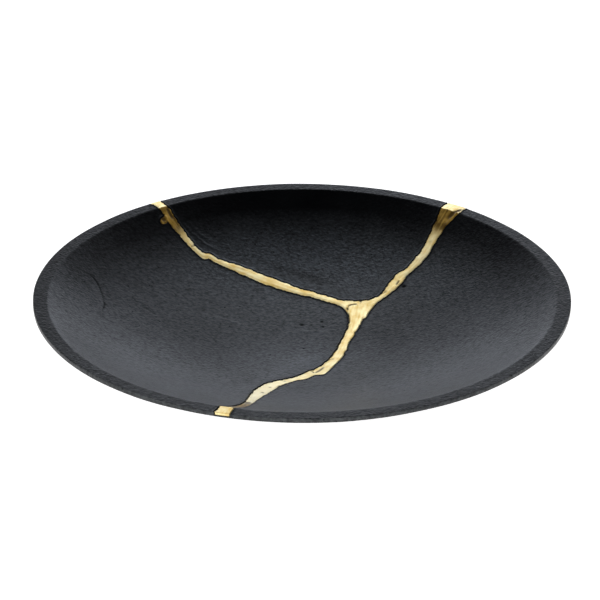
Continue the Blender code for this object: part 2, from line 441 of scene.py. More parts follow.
BACK_RIGHT_ARM = SeamArm(
    ((42, 69.6, 8), (50, 70.1, 7.4), (56.4, 72.6, 5.8), (61.5, 77.2, 5), (66, 82.8, 7), (70.6, 89.4, 9),
     (74.8, 96.2, 8.2), (80.6, 101.2, 5.8), (86, 107.4, 6.8), (91.2, 114, 7.5), (95.4, 121.6, 6.8),
     (99, 129, 7.8), (103, 137, 9), (108, 145.2, 12.4), (113, 152.4, 16.4), (118, 160.6, 17),
     (123, 169, 17.4)), slope_shade_from=0.84)
DRIP = (Drop((-105.3, 144.4), (2.5, 3.8), -28), Drop((-103.6, 148.6), (1.7, 2.6), -28))
PATCHES = (
    Patch(((17, -19), (22.7, -20.5), (22, -24), (20.3, -28.5), (18.4, -33), (16.3, -36.4), (13, -37.2),
           (9.6, -37), (9.2, -32), (12.6, -25))),
    Patch(((9, -28.3), (5.8, -28.6), (3.2, -31.8), (0.4, -35.4), (-3, -39.6), (1, -43), (6, -37),
           (10, -32))),
    Patch(((9.5, -37), (6.8, -40.4), (4.2, -44), (0.4, -46.8), (-4.6, -47.4), (-1, -41), (5, -37))),
    Patch(((22, 74.4), (25.2, 72.2), (28.2, 70), (30.6, 67.6), (32.4, 64.4), (34, 60.8), (35.4, 56.6),
           (36.2, 52), (41, 56), (41, 67), (33, 73))),
    Patch(((60, 73.4), (56.4, 68.9), (52.8, 63), (50.2, 57.6), (47.4, 50.6), (43, 52), (44, 64),
           (50, 71.5))),
    Patch(((-38, 105), (-40, 108.6), (-45, 112.2), (-49.5, 113.4), (-53, 110), (-46, 106))))


@dataclass(frozen=True)
class SeamPlan:
    """The whole seam in plan: three arms that meet, the drip beside one of them, and uneven patches."""

    arms: tuple[SeamArm, ...] = (FRONT_ARM, BACK_LEFT_ARM, BACK_RIGHT_ARM)
    spreads: tuple[Drop | Patch, ...] = DRIP + PATCHES
    field_step: float = 0.8 * MM                    # spacing of the places that the flow is measured from
    chunk: int = 8000                               # points that are measured at once

    def outlines(self, step: float, margin: float) -> list[np.ndarray]:
        """Closed plan outlines of every arm, drop and patch, grown by the margin. They overlap."""
        return [piece.outline(step, margin) for piece in (*self.arms, *self.spreads)]

    def flow(self, plan: np.ndarray) -> tuple[np.ndarray, np.ndarray]:
        """Where plan points lie along the nearest arm.

        Args:
            plan: Points (x, y).

        Returns:
            Distance along the arm, and signed distance from its middle line, positive on its left.
        """
        share = np.full(len(plan), np.inf)
        along = np.zeros(len(plan))
        aside = np.zeros(len(plan))
        for number, arm in enumerate(self.arms):
            rows = arm.stations(self.field_step)
            ahead = directions(rows[:, :2])[0]
            for start in range(0, len(plan), self.chunk):
                part = slice(start, start + self.chunk)
                gap = plan[part, None, :] - rows[None, :, :2]
                nearest = np.argmin((gap ** 2).sum(axis=2), axis=1)
                gap = gap[np.arange(len(nearest)), nearest]
                on = ahead[nearest]
                sideways = on[:, 0] * gap[:, 1] - on[:, 1] * gap[:, 0]
                out = np.linalg.norm(gap, axis=1) / rows[nearest, 2]
                closer = out < share[part]
                share[part] = np.where(closer, out, share[part])
                along[part] = np.where(closer, rows[nearest, 3] + number, along[part])
                aside[part] = np.where(closer, sideways, aside[part])
        return along, aside


# --------------------------------------------------------------------------------------------------
# Sheets: flat triangulations in plan
# --------------------------------------------------------------------------------------------------


def hexagons(radius: float, spacing: float) -> np.ndarray:
    """Fill a circle about the origin with a triangular grid.

    Args:
        radius: The circle's radius.
        spacing: Distance between neighbouring points.

    Returns:
        Points (x, y).
    """
    rows = np.arange(-radius, radius, spacing * math.sqrt(3) / 2)
    columns = np.arange(-radius, radius, spacing)
    x, y = np.meshgrid(columns, rows)
    x = x + (np.arange(len(rows)) % 2)[:, None] * spacing / 2
    grid = np.column_stack([x.ravel(), y.ravel()])
    return grid[from_axis(grid) < radius]


def gaps(points: np.ndarray, others: np.ndarray) -> np.ndarray:
    """Measure how far points lie from their nearest neighbours among others.

    Args:
        points: Points (x, y).
        others: The points (x, y) that are measured to.

    Returns:
        One distance for each point.
    """
    tree = KDTree(len(others))
    for index, place in enumerate(others):
        tree.insert((*place, 0.0), index)
    tree.balance()
    return np.array([tree.find((*place, 0.0))[2] for place in points])


def clear_of(points: np.ndarray, others: np.ndarray, gap: float) -> np.ndarray:
    """The points that lie further than a gap from every one of the others."""
    return points[gaps(points, others) > gap]


def triangulate(loops: list[np.ndarray], points: np.ndarray) -> tuple[np.ndarray, np.ndarray, list[set[int]]]:
    """Triangulate what closed outlines take in, with edges along every one of them.

    Args:
        loops: Closed outlines, anticlockwise.
        points: Loose points (x, y).

    Returns:
        The points, first those of the outlines, the triangles, anticlockwise, and for each triangle the
        numbers of the outlines that it lies in.
    """
    places = np.vstack([*loops, points]) / MM
    starts = np.cumsum([0, *[len(loop) for loop in loops]])
    rounds = [list(range(start, end)) for start, end in zip(starts, starts[1:])]
    result = delaunay_2d_cdt([Vector(place) for place in places], [], rounds, 1, WELD)
    plan, faces = np.array(result[0]) * MM, np.array(result[2])
    a, b, c = (plan[faces[:, corner]] for corner in range(3))
    turn = (b - a)[:, 0] * (c - a)[:, 1] - (b - a)[:, 1] * (c - a)[:, 0]
    faces[turn < 0] = faces[turn < 0][:, ::-1]
    return plan, faces, [set(owner) for owner in result[5]]


@dataclass
class Sheet:
    """A flat triangulation in plan, with the triangles inside the seam told apart from the rest."""

    plan: np.ndarray
    faces: np.ndarray
    in_seam: np.ndarray

    @classmethod
    def between(cls, points: np.ndarray, border: np.ndarray | None, seam: list[np.ndarray],
                overhang: np.ndarray) -> "Sheet":
        """Triangulate points in plan, with edges along the border, the seam's outlines and the overhang.

        What an arm of the seam reaches past the border is left out.

        Args:
            points: Loose points (x, y).
            border: Closed outline of the whole sheet, or None where the seam itself is the sheet.
            seam: Closed outlines that make up the seam. They may overlap.
            overhang: Closed outline past which the seam ends.

        Returns:
            The sheet, in metres.
        """
        borders = [] if border is None else [border]
        loops = [anticlockwise(loop) for loop in (*borders, *seam, overhang)]
        plan, faces, owners = triangulate(loops, points)
        first, last = len(borders), len(loops) - 1
        kept = np.array([border is None or 0 in owner for owner in owners])
        inside = np.array([last in owner and any(first <= number < last for number in owner)
                           for owner in owners])
        used, faces = np.unique(faces[kept], return_inverse=True)
        return cls(plan[used], faces.reshape(-1, 3), inside[kept])

    def seam_border(self) -> list[tuple[int, int]]:
        """Edges round the seam, as pairs of points in the direction of the seam's triangles."""
        edges = {(face[i], face[(i + 1) % 3]) for face in self.faces[self.in_seam].tolist() for i in range(3)}
        return sorted(edge for edge in edges if edge[::-1] not in edges)

    def from_border(self, end: float, step: float = 0.15 * MM) -> np.ndarray:
        """Distance of every point from the seam's outline, without the part of it that ends the seam.

        Args:
            end: Plan distance from the axis at which the seam ends.
            step: Spacing of the places on the outline that are measured from.

        Returns:
            One distance for each point of the sheet.
        """
        places = []
        for a, b in self.seam_border():
            start, finish = self.plan[a], self.plan[b]
            if min(np.hypot(*start), np.hypot(*finish)) < end - NEAR:
                count = max(1, round(math.dist(start, finish) / step))
                places.extend(start + (finish - start) * share for share in np.arange(count) / count)
        return gaps(self.plan, np.array(places))


def new_object(name: str, points: np.ndarray, faces: list[tuple[int, ...]],
               values: dict[str, np.ndarray]) -> bpy.types.Object:
    """Make a mesh object at the origin, without the points that no face uses.

    Args:
        name: Name of the object and of its mesh.
        points: Points (x, y, z).
        faces: Corners of each face, as numbers of points.
        values: Attributes of the points by name: one number a point, or three.

    Returns:
        The new object, linked to the scene.
    """
    used = np.unique(np.concatenate([np.ravel(face) for face in faces]))
    place = np.full(len(points), -1)
    place[used] = np.arange(len(used))
    mesh = bpy.data.meshes.new(name)
    mesh.from_pydata(points[used].tolist(), [], [place[list(face)].tolist() for face in faces])
    mesh.shade_smooth()
    for label, numbers in values.items():
        kind, slot = ("FLOAT", "value") if numbers.ndim == 1 else ("FLOAT_VECTOR", "vector")
        numbers = numbers[used].ravel().astype(np.float32)
        mesh.attributes.new(label, kind, "POINT").data.foreach_set(slot, numbers)
    made = bpy.data.objects.new(name, mesh)
    bpy.context.scene.collection.objects.link(made)
    return made


# --------------------------------------------------------------------------------------------------
# Node trees
# --------------------------------------------------------------------------------------------------


def plug(tree: bpy.types.NodeTree, node: bpy.types.Node, links: dict) -> None:
    """Fill the inputs of a node.

    Args:
        tree: The shader or geometry tree.
        node: The node.
        links: What goes into its inputs, by name or number: an output to link, or a value.
    """
    for key, value in links.items():
        if isinstance(value, bpy.types.NodeSocket):
            tree.links.new(value, node.inputs[key])
        else:
            node.inputs[key].default_value = value


def add(tree: bpy.types.NodeTree, kind: str, links: dict | None = None, **settings: object) -> bpy.types.Node:
    """Add a node to a tree.

    Args:
        tree: The shader or geometry tree.
        kind: The node's type.
        links: What goes into its inputs, by name or number: an output to link, or a value.
        settings: Properties of the node itself.

    Returns:
        The new node.
    """
    node = tree.nodes.new(kind)
    for name, value in settings.items():
        setattr(node, name, value)
    plug(tree, node, links or {})
    return node


def new_finish(name: str) -> tuple[bpy.types.Material, bpy.types.NodeTree, bpy.types.Node]:
    """Make a material.

    Args:
        name: Its name.

    Returns:
        The material, its tree and its Principled shader.
    """
    made = bpy.data.materials.new(name)
    made.use_nodes = True
    return made, made.node_tree, made.node_tree.nodes["Principled BSDF"]


def linear(code: str) -> tuple[float, float, float, float]:
    """Turn an sRGB hex colour into the linear values that shaders take."""
    parts = [int(code[start:start + 2], 16) / 255 for start in (1, 3, 5)]
    return (*[part / 12.92 if part <= 0.04045 else ((part + 0.055) / 1.055) ** 2.4 for part in parts], 1.0)


@dataclass(frozen=True)
class Layer:
    """One layer of relief, pressed into a surface along its normals."""

    name: str
    depth: float                                    # from its highest to its lowest place
    size: tuple[float, float, float]                # of its lumps, along x, y and z or along the flow
    ground: Ground = Ground.PLACE
    detail: float = 2.0
    low: float = 0.25                               # the noise's value in the lowest places
    high: float = 0.75                              # and in the highest


@dataclass(frozen=True)
class Relief:
    """A Geometry Nodes tree that presses layers of relief into a piece, and gives it its finish."""

    name: str
    layers: tuple[Layer, ...]
    mask: str = "relief"                            # attribute that scales the relief at each point

    def tree(self) -> bpy.types.NodeTree:
        """Build the tree, with an input for the depth and the size of each layer and one for the finish.

        Returns:
            The tree.
        """
        tree = bpy.data.node_groups.new(self.name, "GeometryNodeTree")
        ports = tree.interface
        ports.new_socket("Geometry", in_out="INPUT", socket_type="NodeSocketGeometry")
        ports.new_socket("Finish", in_out="INPUT", socket_type="NodeSocketMaterial")
        for layer in self.layers:
            ports.new_socket(f"{layer.name} depth", in_out="INPUT", socket_type="NodeSocketFloat")
            ports.new_socket(f"{layer.name} size", in_out="INPUT", socket_type="NodeSocketVector")
        ports.new_socket("Geometry", in_out="OUTPUT", socket_type="NodeSocketGeometry")
        entry = add(tree, "NodeGroupInput")
        total = None
        for layer in self.layers:
            pressed = self.layer(tree, layer, entry)
            if total is not None:
                pressed = add(tree, "ShaderNodeMath", {0: total, 1: pressed}, operation="ADD").outputs[0]
            total = pressed
        mask = add(tree, "GeometryNodeInputNamedAttribute", {"Name": self.mask}, data_type="FLOAT")
        depth = add(tree, "ShaderNodeMath", {0: total, 1: mask.outputs[0]}, operation="MULTIPLY")
        normal = add(tree, "GeometryNodeInputNormal")
        offset = add(tree, "ShaderNodeVectorMath", {"Vector": normal.outputs[0], "Scale": depth.outputs[0]},
                     operation="SCALE")
        moved = add(tree, "GeometryNodeSetPosition", {"Geometry": entry.outputs["Geometry"],
                                                      "Offset": offset.outputs[0]})
        real = add(tree, "GeometryNodeRealizeInstances", {0: moved.outputs[0]})
        dressed = add(tree, "GeometryNodeSetMaterial", {"Geometry": real.outputs[0],
                                                        "Material": entry.outputs["Finish"]})
        add(tree, "NodeGroupOutput", {0: dressed.outputs[0]})
        return tree

    def layer(self, tree: bpy.types.NodeTree, layer: Layer, entry: bpy.types.Node) -> bpy.types.NodeSocket:
        """Add the nodes of one layer.

        Args:
            tree: The tree.
            layer: The layer.
            entry: The tree's input node.

        Returns:
            The layer's lift at each point, from minus its depth to nothing.
        """
        if layer.ground is Ground.FLOW:
            ground = add(tree, "GeometryNodeInputNamedAttribute", {"Name": "flow"}, data_type="FLOAT_VECTOR")
        else:
            ground = add(tree, "GeometryNodeInputPosition")
        size = entry.outputs[f"{layer.name} size"]
        place = add(tree, "ShaderNodeVectorMath", {0: ground.outputs[0], 1: size}, operation="DIVIDE")
        noise = add(tree, "ShaderNodeTexNoise", {"Vector": place.outputs[0], "Scale": 1.0,
                                                 "Detail": layer.detail}, normalize=True)
        shaped = add(tree, "ShaderNodeMapRange", {0: noise.outputs[0], 1: layer.low, 2: layer.high,
                                                  3: -1.0, 4: 0.0})
        depth = entry.outputs[f"{layer.name} depth"]
        return add(tree, "ShaderNodeMath", {0: shaped.outputs[0], 1: depth}, operation="MULTIPLY").outputs[0]

    def press(self, piece: bpy.types.Object, finish: bpy.types.Material) -> None:
        """Run the tree on a piece and keep the result as its plain mesh.

        Args:
            piece: The object whose mesh is pressed.
            finish: The material that it gets.
        """
        modifier = piece.modifiers.new(self.name, "NODES")
        modifier.node_group = self.tree()
        ports = {item.name: item.identifier for item in modifier.node_group.interface.items_tree
                 if item.in_out == "INPUT"}
        modifier[ports["Finish"]] = finish
        for layer in self.layers:
            modifier[ports[f"{layer.name} depth"]] = layer.depth
            modifier[ports[f"{layer.name} size"]] = layer.size
        view = bpy.context.evaluated_depsgraph_get()
        pressed = bpy.data.meshes.new_from_object(piece.evaluated_get(view), depsgraph=view)
        pressed.name = piece.name
        plain = piece.data
        piece.modifiers.clear()
        piece.data = pressed
        bpy.data.meshes.remove(plain)


# --------------------------------------------------------------------------------------------------
# Finishes
# --------------------------------------------------------------------------------------------------


@dataclass(frozen=True)
class BlackCastCoat:
    """Matt black coat on sand-cast aluminium.

    The coat is thin and follows the fine grain of the sand that the casting was made in, so it is dull,
    slightly blue-grey where it shines at a low angle, and broken up by grain that catches the light in
    specks. The real grain is finer than a millimetre, and is drawn as coarse as it needs to show.
    """

    name: str = "matt_black_coat_on_cast_aluminium"
    coat: str = "#020203"
    worn: str = "#08090A"
    tint: str = "#D2E6FF"                           # of what it reflects
    edge_tint: str = "#E8EEF2"                      # the same, on the rim's upright edge
    roughness: float = 0.38
    roughness_change: float = 0.02                  # up and down, over the clouds
    specular: float = 0.26                          # in the middle of the dish
    mottle: float = 3.0 * MM                        # size of the mottling
    mottle_depth: float = 2.8
    pit: float = 8 * MM                             # spacing of the small dark pits
    pit_radius: float = 0.10                        # as a share of that spacing
    pit_gloss: float = 0.1
    grain: float = 2.0 * MM
    grain_height: float = 0.27 * MM
    rim_grain_height: float = 0.45 * MM
    cloud: float = 26 * MM
    cloud_range: tuple[float, float] = (0.3, 0.7)   # values of the noise between which the clouds change
    cloud_depth: float = 0.12

    def material(self) -> bpy.types.Material:
        """Make the material.

        Returns:
            The material. It reads the casting's attributes for its specular level, which carries painted
            light and shade, for its wear and for the rim.
        """
        made, tree, shader = new_finish(self.name)
        place = add(tree, "ShaderNodeTexCoord").outputs["Object"]
        cloud, mottle, grain = (
            add(tree, "ShaderNodeTexNoise", {"Vector": place, "Scale": 1 / size, "Detail": detail,
                                             "Roughness": roughness}).outputs[0]
            for size, detail, roughness in ((self.cloud, 3.0, 0.5), (self.mottle, 3.0, 0.6),
                                            (self.grain, 2.0, 0.5)))
        pits = add(tree, "ShaderNodeTexVoronoi", {"Vector": place, "Scale": 1 / self.pit}, feature="F1")
        beside, gloss, on_rim = (add(tree, "ShaderNodeAttribute", attribute_name=name).outputs["Fac"]
                                 for name in ("beside_seam", "gloss", "on_rim"))
        blend = add(tree, "ShaderNodeMath", {0: cloud, 1: beside}, operation="ADD", use_clamp=True)
        colour = add(tree, "ShaderNodeMix", {"Factor": blend.outputs[0], 6: linear(self.coat),
                                             7: linear(self.worn)}, data_type="RGBA")
        half = self.mottle_depth / 2
        sheen = add(tree, "ShaderNodeMapRange", {0: mottle, 1: 0.0, 2: 1.0, 3: 1 - half, 4: 1 + half})
        hole = add(tree, "ShaderNodeMapRange", {0: pits.outputs["Distance"], 1: self.pit_radius / 2,
                                                2: self.pit_radius, 3: self.pit_gloss, 4: 1.0})
        low, high = self.cloud_range
        patchy = add(tree, "ShaderNodeMapRange", {0: cloud, 1: low, 2: high, 3: 1 - self.cloud_depth,
                                                  4: 1 + self.cloud_depth})
        level = self.specular
        # The specular level is multiplied by the casting's painted light and shade.
        for factor in (sheen.outputs[0], hole.outputs[0], patchy.outputs[0], gloss):
            level = add(tree, "ShaderNodeMath", {0: level, 1: factor}, operation="MULTIPLY").outputs[0]
        rough = add(tree, "ShaderNodeMapRange", {0: cloud, 1: low, 2: high,
                                                 3: self.roughness - self.roughness_change,
                                                 4: self.roughness + self.roughness_change})
        height = add(tree, "ShaderNodeMapRange", {0: on_rim, 1: 0.0, 2: 1.0, 3: self.grain_height,
                                                  4: self.rim_grain_height})
        bump = add(tree, "ShaderNodeBump", {"Height": grain, "Strength": 1.0, "Distance": height.outputs[0]})
        upright = add(tree, "ShaderNodeMapRange", {0: on_rim, 1: 1.0, 2: 2.0, 3: 0.0, 4: 1.0})
        tint = add(tree, "ShaderNodeMix", {"Factor": upright.outputs[0], 6: linear(self.tint),
                                           7: linear(self.edge_tint)}, data_type="RGBA")
        # The plain value stands wherever the linked one isn't read.
        plug(tree, shader, {"Specular IOR Level": self.specular})
        plug(tree, shader, {"Base Color": colour.outputs[2], "Specular Tint": tint.outputs[2],
                            "Specular IOR Level": level, "Roughness": rough.outputs[0],
                            "Normal": bump.outputs[0]})
        return made


@dataclass(frozen=True)
class GoldInlay:
    """Gold-coloured brass, laid and smoothed by hand.

    It is mottled between burnished and plain, and streaked along the seam, with small pits. Painted light
    makes it paler on the front slope and in a glint at the back, and painted shade makes it brown on the
    slope between the floor of the dish and the rim.
    """

    name: str = "hand_laid_gold_coloured_brass"
    burnished: str = "#FFF2BE"
    plain: str = "#EBCA76"
    # painted light, on the front slope and in a glint at the back
    rubbed: str = "#FFF5D0"
    # painted shade on the slope below the rim, mottled between these two
    slope_shade_light: str = "#B69344"
    slope_shade_dark: str = "#523C08"
    dark: str = "#4A3813"
    metallic: float = 0.5
    specular: float = 0.25
    roughness: float = 0.42
    roughness_change: float = 0.06                  # up and down, over the mottling
    streak: tuple[float, float] = (20 * MM, 2.2 * MM)
    blotch: float = 7 * MM
    grain: float = 0.9 * MM
    grain_height: float = 0.04 * MM
    plain_range: tuple[float, float] = (0.75, 1.3)  # values of the mottling from burnished to plain
    slope_shade_range: tuple[float, float] = (0.7, 1.15)  # from the lighter to the darker tone of the painted shade on the slope
    rough_range: tuple[float, float] = (0.7, 1.3)   # from the smoothest to the roughest

    def material(self) -> bpy.types.Material:
        """Make the material.

        Returns:
            The material. It reads the inlay's attributes for its streaks, its tarnish, its painted light and
            its painted shade on the slope.
        """
        made, tree, shader = new_finish(self.name)
        place = add(tree, "ShaderNodeTexCoord").outputs["Object"]
        flow = add(tree, "ShaderNodeAttribute", attribute_name="flow")
        drawn = add(tree, "ShaderNodeMapping", {"Vector": flow.outputs["Vector"],
                                                "Scale": (1 / self.streak[0], 1 / self.streak[1], 1.0)})
        streak, blotch, grain = (
            add(tree, "ShaderNodeTexNoise", {"Vector": vector, "Scale": scale, "Detail": 2.0}).outputs[0]
            for vector, scale in ((drawn.outputs[0], 1.0), (place, 1 / self.blotch), (place, 1 / self.grain)))
        both = add(tree, "ShaderNodeMath", {0: streak, 1: blotch}, operation="ADD").outputs[0]
        ranges = ((self.plain_range, 0.0, 1.0), (self.slope_shade_range, 0.0, 1.0),
                  (self.rough_range, self.roughness - self.roughness_change,
                   self.roughness + self.roughness_change))
        share, uneven, rough = (
            add(tree, "ShaderNodeMapRange", {0: both, 1: low, 2: high, 3: start, 4: end}).outputs[0]
            for (low, high), start, end in ranges)
        slope_shade_colour = add(tree, "ShaderNodeMix", {"Factor": uneven, 6: linear(self.slope_shade_light),
                                            7: linear(self.slope_shade_dark)}, data_type="RGBA")
        colour = add(tree, "ShaderNodeMix", {"Factor": share, 6: linear(self.burnished),
                                             7: linear(self.plain)}, data_type="RGBA")
        # Painted light, painted shade on the slope and tarnish in grooves are laid over the colour in turn.
        for attribute, over in (("rubbed", linear(self.rubbed)), ("left_rough", slope_shade_colour.outputs[2]),
                                ("tarnish", linear(self.dark))):
            where = add(tree, "ShaderNodeAttribute", attribute_name=attribute)
            colour = add(tree, "ShaderNodeMix", {"Factor": where.outputs["Fac"], 6: colour.outputs[2],
                                                 7: over}, data_type="RGBA")
        bump = add(tree, "ShaderNodeBump", {"Height": grain, "Strength": 1.0, "Distance": self.grain_height})
        plug(tree, shader, {"Base Color": colour.outputs[2], "Roughness": rough, "Normal": bump.outputs[0],
                            "Metallic": self.metallic, "Specular IOR Level": self.specular})
        return made


@dataclass(frozen=True)
class StudioPaper:
    """White paper, dull and lit from behind, which the bowl stands on."""

    name: str = "white_studio_paper"
    grey: float = 0.3
    roughness: float = 0.9
    glow: float = 1.0

    def material(self) -> bpy.types.Material:
        """Make the material.

        Returns:
            The material, without a pattern.
        """
        made, tree, shader = new_finish(self.name)
        plug(tree, shader, {"Base Color": (self.grey, self.grey, self.grey, 1.0),
                            "Roughness": self.roughness, "Emission Color": (1.0, 1.0, 1.0, 1.0),
                            "Emission Strength": self.glow})
        return made


# --------------------------------------------------------------------------------------------------
# Marks left by casting and by hand
# --------------------------------------------------------------------------------------------------


@dataclass(frozen=True)
class Crease:
    """A low ridge or a shallow groove in a surface, along a line in plan. All in millimetres."""

    route: tuple[tuple[float, float], ...]
    width: float
    height: float                                   # above the surface, negative for a groove
    spacing: float = 0.7
    rows: tuple[float, ...] = (-1.4, -0.7, 0.0, 0.7, 1.4)   # of points, in widths from its line
    reach: float = 4                                # widths from its line within which it lifts
    fade: float = 0.2                               # share of its length in which each end fades

    def line(self) -> np.ndarray:
        """Follow the line.

        Returns:
            Points (x, y) along it, evenly spaced.
        """
        route = np.array(self.route) * MM
        steps = np.linalg.norm(np.diff(route, axis=0), axis=1)
        travelled = np.concatenate([[0.0], np.cumsum(steps)])
        wanted = np.arange(0.0, travelled[-1], self.spacing * MM)
        return np.column_stack([np.interp(wanted, travelled, route[:, axis]) for axis in (0, 1)])

    def points(self) -> np.ndarray:
        """Work out the points that a sheet needs to carry the crease.

        Returns:
            Points (x, y), in rows along the crease and on both its sides.
        """
        line = self.line()
        across = directions(line)[1] * self.width * MM
        return np.vstack([line + across * away for away in self.rows])

    def lift(self, plan: np.ndarray) -> np.ndarray:
        """Work out how far the crease lifts a surface.

        Args:
            plan: Points (x, y).

        Returns:
            One height for each point, greatest on the crease's line and fading towards both its ends.
        """
        line = self.line()
        place = np.arange(len(line))
        fade = np.minimum(1.0, np.minimum(place, place[::-1]) / (self.fade * len(line)))
        reach = self.reach * self.width * MM
        low, high = line.min(axis=0) - reach, line.max(axis=0) + reach
        near = np.flatnonzero(((plan > low) & (plan < high)).all(axis=1))
        lifted = np.zeros(len(plan))
        if len(near):
            gap = np.linalg.norm(plan[near, None, :] - line[None, :, :], axis=2)
            share = np.exp(-(gap.min(axis=1) / (self.width * MM)) ** 2) * fade[gap.argmin(axis=1)]
            lifted[near] = self.height * MM * share
        return lifted


@dataclass(frozen=True)
class Pit:
    """A small round hollow in a surface, in plan. All in millimetres."""

    place: tuple[float, float]
    radius: float
    depth: float
    rings: tuple[float, ...] = (0.4, 0.8, 1.3)      # of points, in radii from its middle
    ring_points: int = 10

    def points(self) -> np.ndarray:
        """Work out the points that a sheet needs to carry the pit.

        Returns:
            Points (x, y), one in its middle and rings of them round it.
        """
        middle = np.array(self.place) * MM
        rounds = [middle + ring(self.radius * MM * share, self.ring_points, share) for share in self.rings]
        return np.vstack([middle, *rounds])

    def lift(self, plan: np.ndarray) -> np.ndarray:
        """How far the pit lowers plan points."""
        gap = np.linalg.norm(plan - np.array(self.place) * MM, axis=1)
        return -self.depth * MM * np.exp(-(gap / (self.radius * MM)) ** 2)


GOLD_MARKS = (
    Crease(((111, 144.2), (113.4, 146.8), (116, 149), (119, 151), (122.4, 154.4)), 1.3, -0.7),
    Crease(((107.3, 136.6), (110, 139.9), (113.5, 143.8), (117, 147.2), (120, 150.4)), 0.6, 0.5),
    Crease(((-103.6, 157.4), (-101.9, 154), (-100, 150.4), (-98, 146.4)), 1.2, -0.6),
    Crease(((-101, 157), (-99.4, 153.6), (-97.4, 149.4), (-95.2, 145.6)), 0.6, 0.45),
    Crease(((-104.6, 149.6), (-103, 146.6), (-102.6, 144), (-104.2, 141.8)), 0.7, 0.45),
    Pit((-105.6, 144.8), 1.5, 0.6),
    Crease(((34.8, 66.4), (35.3, 68.2), (37, 69.4), (39.6, 69.7), (42.4, 69.2)), 0.6, -0.4),
    Crease(((34.6, 66.8), (34.2, 64.6), (34.5, 62.4)), 0.8, -0.4),
    Pit((44.1, 73), 0.8, 0.7),
    Crease(((16.8, -21), (15.2, -25), (13, -29), (10.6, -32.8), (9.6, -35)), 0.9, -0.35),
    Crease(((14, -20.5), (11.6, -24.8), (9.6, -28.4)), 0.7, 0.3),
    Crease(((6.4, -29.4), (8.2, -31.4), (9.4, -34.4)), 0.5, -0.35),
    Crease(((24.6, -8.4), (21.6, -8.2), (18.6, -10)), 0.9, -0.2),
    Crease(((71, 86.2), (72.4, 89), (73.6, 92)), 0.7, -0.35),
    Crease(((-84.8, 124.6), (-82.4, 126), (-80.2, 127.4)), 0.5, -0.3),
    Crease(((-38.4, -116.4), (-39, -120), (-40.4, -125)), 1.6, -0.8),
    Pit((-23.4, -66), 0.9, 0.3), Pit((-28.6, -81.6), 1.0, 0.35), Pit((-12.6, -50.6), 1.1, 0.2),
    Pit((97.4, 126.6), 1.6, 0.08), Pit((-44.6, 109.6), 1.6, 0.08), Pit((62.6, 80.4), 1.4, 0.2))
CASTING_MARKS = (
    Pit((0, 45.4), 1.2, 0.4), Pit((14.8, 49.2), 1.2, 0.35), Pit((16, 42), 1.0, 0.35),
    Pit((1.4, 10.8), 0.9, 0.3), Pit((77, 83.5), 1.4, 0.4),
    Crease(((-172, 58.5), (-166, 59), (-158, 57), (-153.6, 51), (-150.3, 41), (-147.6, 26), (-148.8, 13),
            (-150, 2)), 0.9, -0.13),
    Crease(((-160, 57.5), (-155.5, 54), (-151.6, 46), (-149.8, 38)), 0.8, -0.08),
    Crease(((-149.2, 30), (-146.8, 24), (-148.4, 17)), 0.9, -0.1),
    Crease(((-163, 50), (-157, 43), (-153, 32), (-151.5, 20)), 1.6, 0.08),
    Crease(((-120, 40), (-114, 36.5), (-108, 32)), 0.9, -0.14),
    Crease(((-76, 49), (-68, 46.5), (-60, 47), (-50, 43.5), (-37, 37)), 1.4, 0.12),
    Crease(((-7, 40), (1, 37), (9, 36.5), (16, 35), (23, 34)), 1.2, 0.10),
    Crease(((-30, 119), (-15, 112), (-1, 107), (14, 99), (28, 92)), 4.5, -0.09),
    Crease(((-40, -84), (-30, -52), (-17, -32), (-5, -18), (15, 3)), 5, 0.05),
    Crease(((-94, 150), (-85, 140), (-74, 130.5), (-61, 125)), 1.0, 0.16),
    Crease(((-87, 149), (-77, 138.5), (-64, 131.5)), 1.0, 0.12))


# --------------------------------------------------------------------------------------------------
# The two pieces
# --------------------------------------------------------------------------------------------------


